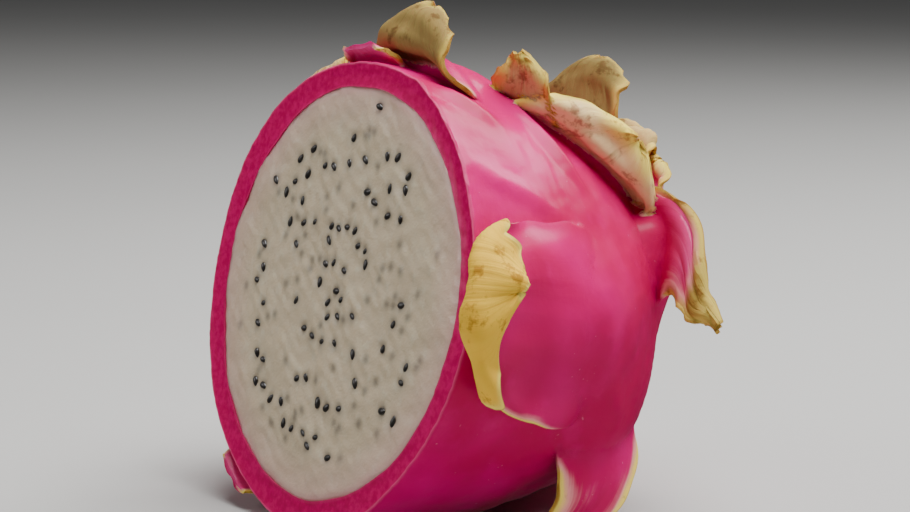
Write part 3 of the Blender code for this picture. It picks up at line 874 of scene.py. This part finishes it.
remember(flesh.data, "under", closeness(x, z, hidden_seeds, 0.95 * MM) * at_face)
flesh.data.transform(LAY_DOWN)
flesh.data.shade_smooth()
print("Flesh:", len(points), "points")

# %% [markdown]
# ## Seeds with Geometry Nodes
#
# Seeds repeat, and Geometry Nodes are made for that: one seed is modelled once, and
# instanced on each point with its own turn and size. Placing copies by hand would
# work too, but here one change of an input resizes all of them. The tree's inputs
# are named, its random numbers have a fixed seed, and it ends by making the copies
# real, because instances aren't exported.

# %% A small helper for node trees
def add_node(tree, kind, settings=None, inputs=None):
    """A node of a kind, with its settings first and then the values or links of its sockets."""
    node = tree.nodes.new(kind)
    for name, value in (settings or {}).items():
        setattr(node, name, value)
    for key, value in (inputs or {}).items():
        if isinstance(value, bpy.types.NodeSocket):
            tree.links.new(value, node.inputs[key])
        else:
            node.inputs[key].default_value = value
    return node


def tree_input(tree, name, kind, value=None):
    """A named input of a node tree."""
    made = tree.interface.new_socket(name, in_out="INPUT", socket_type=kind)
    if value is not None:
        made.default_value = value
    return made


# %% The tree that grows seeds on points
def seed_tree(material):
    """One tapered seed on each point, turned by the point's own turn."""
    tree = bpy.data.node_groups.new("grow_seeds", "GeometryNodeTree")
    tree_input(tree, "Places", "NodeSocketGeometry")
    tree_input(tree, "Seed Length", "NodeSocketFloat", SEED_LENGTH)
    tree_input(tree, "Seed Width", "NodeSocketFloat", SEED_WIDTH)
    tree_input(tree, "Size Spread", "NodeSocketFloat", 0.14)
    tree_input(tree, "Random Seed", "NodeSocketInt", 7)
    tree.interface.new_socket("Seeds", in_out="OUTPUT", socket_type="NodeSocketGeometry")
    given = add_node(tree, "NodeGroupInput").outputs
    ball = add_node(tree, "GeometryNodeMeshUVSphere", None,
                    {"Segments": 10, "Rings": 6, "Radius": 0.5})
    place = add_node(tree, "ShaderNodeSeparateXYZ", None,
                     {0: add_node(tree, "GeometryNodeInputPosition").outputs[0]})
    taper = add_node(tree, "ShaderNodeMath", {"operation": "MULTIPLY_ADD"},
                     {0: place.outputs["Z"], 1: -0.5, 2: 0.95})
    sides = [add_node(tree, "ShaderNodeMath", {"operation": "MULTIPLY"},
                      {0: place.outputs[axis], 1: taper.outputs[0]}).outputs[0] for axis in "XY"]
    drawn = add_node(tree, "ShaderNodeCombineXYZ", None,
                     {"X": sides[0], "Y": sides[1], "Z": place.outputs["Z"]})
    shaped = add_node(tree, "GeometryNodeSetPosition", None,
                      {"Geometry": ball.outputs["Mesh"], "Position": drawn.outputs[0]})
    size = add_node(tree, "ShaderNodeCombineXYZ", None,
                    {"X": given["Seed Width"], "Y": given["Seed Width"], "Z": given["Seed Length"]})
    seed = add_node(tree, "GeometryNodeTransform", None,
                    {"Geometry": shaped.outputs[0], "Scale": size.outputs[0]})
    turn = add_node(tree, "GeometryNodeInputNamedAttribute", {"data_type": "FLOAT"},
                    {"Name": "turn"})
    nod = add_node(tree, "FunctionNodeRandomValue", {"data_type": "FLOAT"},
                   {2: -0.35, 3: 0.35, "Seed": given["Random Seed"]})
    spin = add_node(tree, "ShaderNodeCombineXYZ", None, {"X": nod.outputs[1], "Y": turn.outputs[0]})
    low, high = (add_node(tree, "ShaderNodeMath", {"operation": operation},
                          {0: 1.0, 1: given["Size Spread"]}) for operation in ("SUBTRACT", "ADD"))
    grown = add_node(tree, "FunctionNodeRandomValue", {"data_type": "FLOAT"},
                     {2: low.outputs[0], 3: high.outputs[0], "Seed": given["Random Seed"]})
    copies = add_node(tree, "GeometryNodeInstanceOnPoints", None,
                      {"Points": given["Places"], "Instance": seed.outputs[0],
                       "Rotation": spin.outputs[0], "Scale": grown.outputs[1]})
    real = add_node(tree, "GeometryNodeRealizeInstances", None, {0: copies.outputs[0]})
    smooth = add_node(tree, "GeometryNodeSetShadeSmooth", None, {0: real.outputs[0]})
    coloured = add_node(tree, "GeometryNodeSetMaterial", None,
                        {"Geometry": smooth.outputs[0], "Material": material})
    add_node(tree, "NodeGroupOutput", None, {0: coloured.outputs[0]})
    return tree


def run_tree(obj, tree, values):
    """Runs a tree on an object with named input values, and keeps the result as a plain mesh."""
    modifier = obj.modifiers.new("grow", "NODES")
    modifier.node_group = tree
    for item in tree.interface.items_tree:
        if item.item_type == "SOCKET" and item.in_out == "INPUT" and item.name in values:
            modifier[item.identifier] = values[item.name]
    settled(obj)


# %% [markdown]
# ## Writing materials as sums
#
# A material is a graph of nodes. Drawn by hand it soon becomes a tangle, so here a
# small class wraps a socket, and plain sums on it add Math nodes: 1 - mask works as
# it reads. Colours don't go through Math nodes, which would turn them grey, but
# through Mix nodes.

# %% Sockets that can be used in sums
class Wire:
    """A socket of a material's node that plain sums can use."""

    def __init__(self, paint, socket):
        self.paint, self.socket = paint, socket

    def sum_with(self, operation, first, second, clamp=False):
        return self.paint.node("ShaderNodeMath", {"operation": operation, "use_clamp": clamp},
                               {0: first, 1: second})

    def __add__(self, other):
        return self.sum_with("ADD", self, other)

    __radd__ = __add__

    def __sub__(self, other):
        return self.sum_with("SUBTRACT", self, other)

    def __rsub__(self, other):
        return self.sum_with("SUBTRACT", other, self)

    def __mul__(self, other):
        return self.sum_with("MULTIPLY", self, other)

    __rmul__ = __mul__

    def clipped(self):
        return self.sum_with("ADD", self, 0.0, clamp=True)


class Paint:
    """A new material whose one shader is fed by expressions."""

    def __init__(self, name, settings):
        self.material = bpy.data.materials.new(name)
        self.material.use_nodes = True
        self.tree = self.material.node_tree
        self.shader = self.tree.nodes["Principled BSDF"]
        for socket, value in settings.items():
            self.shader.inputs[socket].default_value = value
        self.place = self.node("ShaderNodeTexCoord", output="Object")

    def node(self, kind, settings=None, inputs=None, output=0):
        plain = {key: value.socket if isinstance(value, Wire) else value
                 for key, value in (inputs or {}).items()}
        return Wire(self, add_node(self.tree, kind, settings, plain).outputs[output])

    def fact(self, name):
        return self.node("ShaderNodeAttribute", {"attribute_name": name}, output="Fac")

    def noise(self, size, detail=3.0, vector=None, rough=0.55):
        return self.node("ShaderNodeTexNoise", None,
                         {"Vector": vector or self.place, "Scale": 1.0 / size, "Detail": detail,
                          "Roughness": rough})

    def step(self, value, low, high):
        return self.node("ShaderNodeMapRange", {"interpolation_type": "SMOOTHSTEP"},
                         {0: value, 1: low, 2: high, 3: 0.0, 4: 1.0})

    def mix(self, factor, first, second, kind="MIX"):
        colours = [(*c, 1.0) if isinstance(c, tuple) else c for c in (first, second)]
        return self.node("ShaderNodeMix", {"data_type": "RGBA", "blend_type": kind},
                         {0: factor, 6: colours[0], 7: colours[1]}, output=2)

    def feed(self, **wires):
        for name, wire in wires.items():
            self.tree.links.new(wire.socket, self.shader.inputs[name.replace("_", " ")])

    def bump(self, height, depth):
        return self.node("ShaderNodeBump", None,
                         {"Strength": 1.0, "Distance": depth, "Height": height})


print("Sockets ready for sums")

# %% [markdown]
# ## The peel's colours
#
# Fresh skin is a waxy magenta that is never even: it has broad paler and deeper
# clouds and a few pale flecks. Scales pale towards their margin, then turn yellow
# and brown as they dry, with streaks along their length and small stains, which
# darken by multiplying. The cut ring is a deep, moist crimson, paler in a thin band
# at the skin's edge: partly the skin's own edge, partly a painted highlight along
# the knife's edge. One material does it all, because it is one grown piece, and the
# facts kept at each point say where each colour goes. Only a thin coat shines, so
# the light doesn't veil the pink.

# %% The peel's material
def peel_paint():
    paint = Paint("peel_skin", {"Subsurface Weight": 0.12, "Subsurface Scale": 0.0025,
                                "Subsurface Radius": (1.0, 0.25, 0.45), "Coat Roughness": 0.25,
                                "Specular IOR Level": 0.02})
    reach, side, inner = paint.fact("reach"), paint.fact("side"), paint.fact("inner")
    edge, dry, brown, gold = (paint.fact(name) for name in ("edge", "dry", "brown", "gold"))
    cut, ring = paint.fact("cut"), paint.fact("ring")

    clouds = paint.noise(26 * MM, 2.0)
    mottle = paint.noise(7 * MM, 4.0)
    fine = paint.noise(1.3 * MM, 3.0)
    lengthwise = paint.node("ShaderNodeCombineXYZ", None,
                            {0: side * 9.0, 1: reach * 1.3, 2: brown * 7.0})
    streaks = paint.noise(1.0, 4.0, lengthwise)

    skin = paint.mix(paint.step(clouds, 0.35, 0.68), (0.49, 0.0, 0.080), (0.66, 0.0, 0.165))
    skin = paint.mix(paint.step(mottle, 0.52, 0.80) * 0.30, skin, (0.78, 0.0, 0.24))
    flecks = paint.step(paint.noise(1.1 * MM, 1.0), 0.74, 0.80) * paint.step(mottle, 0.45, 0.6)
    skin = paint.mix(flecks * 0.5, skin, (0.85, 0.28, 0.45))

    leafy = paint.step(reach, 0.25, 0.6)
    pale = paint.mix(streaks, (0.70, 0.03, 0.24), (0.80, 0.16, 0.38))
    fresh = paint.mix(leafy * (0.06 + 0.60 * inner), skin, pale)

    worn = (dry + (streaks - 0.5) * 0.5 + (mottle - 0.5) * 0.3).clipped()
    cream = paint.mix(gold, (0.94, 0.71, 0.46), (0.88, 0.52, 0.05))
    cream = paint.mix(brown, cream, (0.20, 0.14, 0.045))
    yellow = paint.mix(brown, (0.92, 0.70, 0.13), (0.48, 0.34, 0.08))
    tissue = paint.mix(paint.step(edge + (mottle - 0.5) * 0.5, 0.25, 0.75), cream, yellow)
    lines = paint.step(streaks, 0.58, 0.80)
    tissue = paint.mix(lines * 0.6, tissue, (0.28, 0.18, 0.10), "MULTIPLY")
    stains = paint.step(paint.noise(5.5 * MM, 4.0, rough=0.7), 0.54, 0.66)
    tissue = paint.mix(stains * 0.75, tissue, (0.42, 0.30, 0.30), "MULTIPLY")
    tissue = paint.mix(paint.step(edge, 0.86, 0.98) * 0.6, tissue, (0.28, 0.13, 0.02))
    blush = paint.mix(paint.step(worn, 0.12, 0.45), fresh, (0.80, 0.30, 0.30))
    leaf = paint.mix(paint.step(worn, 0.35, 0.75), blush, tissue)

    ring_and_edge_highlight = paint.mix(paint.step(fine, 0.3, 0.75), (0.46, 0.0, 0.08), (0.61, 0.0, 0.13))
    ring_and_edge_highlight = paint.mix(paint.step(ring, 0.88, 1.0) * 0.3, ring_and_edge_highlight, (0.60, 0.06, 0.18))
    # a paler band at the skin's edge of the cut: partly the skin's own thin edge, partly a painted
    # highlight along the knife's edge
    ring_and_edge_highlight = paint.mix((1 - paint.step(ring, 0.0, 0.07)) * 0.6, ring_and_edge_highlight, (0.80, 0.12, 0.28))
    colour = paint.mix(cut, leaf, ring_and_edge_highlight)

    rough = 0.33 + 0.10 * mottle + 0.35 * paint.step(worn, 0.3, 0.8)
    coat = (1 - paint.step(worn, 0.2, 0.6)) * 0.32
    height = mottle * 0.25 + fine * 0.12 + streaks * worn * 1.1
    paint.feed(Base_Color=colour, Roughness=rough, Coat_Weight=coat,
               Normal=paint.bump(height, 0.35 * MM))
    return paint.material


peel.data.materials.clear()
peel.data.materials.append(peel_paint())
print("Peel painted")

# %% [markdown]
# ## The flesh's and the seeds' colours
#
# The flesh is a warm white that light sinks into, so it gets subsurface scattering.
# It turns pink towards the peel, is darker in the pits, and shows hidden
# seeds as grey spots. Juice makes it glossy in patches. The seeds are nearly black,
# with a wet shine.

# %% The flesh's material
def flesh_paint():
    paint = Paint("flesh_moist", {"Subsurface Weight": 0.55, "Subsurface Scale": 0.004,
                                  "Subsurface Radius": (1.0, 0.85, 0.65), "Coat Roughness": 0.12,
                                  "Coat Weight": 0.25})
    rim, pit, under = paint.fact("rim"), paint.fact("pit"), paint.fact("under")
    cloud = paint.noise(14 * MM, 3.0)
    cells = paint.noise(2.2 * MM, 3.0)
    fine = paint.noise(0.6 * MM, 2.0)
    colour = paint.mix(cloud, (0.53, 0.425, 0.285), (0.66, 0.545, 0.385))
    colour = paint.mix(paint.step(cells, 0.5, 0.75) * 0.5, colour, (0.64, 0.585, 0.44))
    colour = paint.mix(under * 0.70, colour, (0.13, 0.115, 0.095))
    colour = paint.mix(pit * 0.70, colour, (0.20, 0.175, 0.14))
    rim = rim + (cloud - 0.5) * 0.08
    colour = paint.mix(paint.step(rim, 0.74, 0.98) * 0.24, colour, (0.72, 0.33, 0.38))
    colour = paint.mix(paint.step(rim, 0.94, 1.03) * 0.45, colour, (0.70, 0.20, 0.30))
    rough = 0.26 + 0.30 * cells
    height = cells * 0.7 + fine * 0.25
    paint.feed(Base_Color=colour, Roughness=rough, Normal=paint.bump(height, 0.25 * MM))
    return paint.material


def seed_paint():
    paint = Paint("seed_black", {"Coat Weight": 0.6, "Coat Roughness": 0.08})
    tone = paint.noise(1.1 * MM, 2.0)
    paint.feed(Base_Color=paint.mix(tone, (0.006, 0.005, 0.005), (0.035, 0.028, 0.024)),
               Roughness=0.25 + 0.25 * tone)
    return paint.material


flesh.data.materials.append(flesh_paint())

# %% Grow the seeds
SEED_PROUD = 0.42 * MM
SEED_PLUMP = 1.12  # the fresh seed against the bump on the solid
x, z, turns = seeds_at.T
spots = np.stack([x, np.full(len(x), SEED_WIDTH / 2 - SEED_PROUD), z], -1)
points = bpy.data.meshes.new("seeds")
points.from_pydata(spots.tolist(), [], [])
remember(points, "turn", turns)
seeds = new_object("seeds", points)
run_tree(seeds, seed_tree(seed_paint()),
         {"Seed Length": SEED_PLUMP * SEED_LENGTH, "Seed Width": SEED_PLUMP * SEED_WIDTH,
          "Size Spread": 0.14, "Random Seed": 7})
seeds.data.transform(LAY_DOWN)
print("Seeds:", len(seeds.data.polygons), "faces")

# %% [markdown]
# ## Tie the pieces to the body
#
# The three pieces stand for the two solids, so the solids are hidden, and each piece
# is tied to the one body.

# %% Ride the body and replace the solids
for piece, node in ((peel, "peel"), (flesh, "flesh"), (seeds, "flesh")):
    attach(piece, "root")
    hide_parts(node)
print("Pieces:", peel.name, flesh.name, seeds.name)

# %% [markdown]
# ## Floor, light and camera
#
# A plain pale floor and large soft lights show form without hard shadows. The
# camera stands where the photographer stood: a little above the fruit, to the
# right of its cut face, with a long lens.

# %% The floor
def floor_paint():
    paint = Paint("floor_pale", {"Roughness": 0.85})
    tone = paint.noise(0.35, 2.0)
    paint.feed(Base_Color=paint.mix(tone, (0.46, 0.455, 0.44), (0.50, 0.49, 0.475)))
    return paint.material


FLOOR_HALF = 6.0
corners = FLOOR_HALF * np.array([(-1, -1, 0), (1, -1, 0), (1, 1, 0), (-1, 1, 0)])
floor = new_object("floor", mesh_from("floor", corners, [(0, 1, 2, 3)]))
floor.data.materials.append(floor_paint())
floor.visible_glossy = False
print("Floor:", 2 * FLOOR_HALF, "m wide")

# %% The lights
def soft_light(name, place, aim, size, watts):
    """A square light that looks at a point."""
    lamp = bpy.data.lights.new(name, "AREA")
    lamp.shape, lamp.size, lamp.energy = "SQUARE", size, watts
    made = new_object(name, lamp)
    made.location = place
    made.rotation_euler = (Vector(aim) - Vector(place)).to_track_quat("-Z", "Y").to_euler()
    return made


MIDDLE = (0.0, 0.02, 0.05)
soft_light("light_above", (0.14, 0.14, 0.70), MIDDLE, 0.62, 12.3)
soft_light("light_behind", (-0.14, 0.70, 0.64), MIDDLE, 0.36, 3.6)
soft_light("light_left", (-0.40, -0.80, 0.50), MIDDLE, 0.60, 3.1)
world = bpy.data.worlds.new("studio")
world.use_nodes = True
world.node_tree.nodes["Background"].inputs["Color"].default_value = (0.80, 0.82, 0.85, 1.0)
world.node_tree.nodes["Background"].inputs["Strength"].default_value = 0.06
bpy.context.scene.world = world

# %% The camera
AZIMUTH, ELEVATION = math.radians(55.05), math.radians(8.74)
DISTANCE = 0.520
AIM_RIGHT, AIM_UP = 0.02266, 0.00673
back = Vector((math.sin(AZIMUTH) * math.cos(ELEVATION), -math.cos(AZIMUTH) * math.cos(ELEVATION),
               math.sin(ELEVATION)))
right = Vector((math.cos(AZIMUTH), math.sin(AZIMUTH), 0.0))
up = back.cross(right)
aim = Vector((0.0, -FLAT_MIDDLE, GROUND)) + AIM_RIGHT * right + AIM_UP * up
lens = bpy.data.cameras.new("camera")
lens.lens, lens.sensor_width = 109.25, 36.0
camera = new_object("camera", lens)
look = Matrix((right, up, back)).transposed().to_4x4()
camera.matrix_world = Matrix.Translation(aim + DISTANCE * back) @ look
bpy.context.scene.camera = camera
print("The camera stands", DISTANCE, "m away")
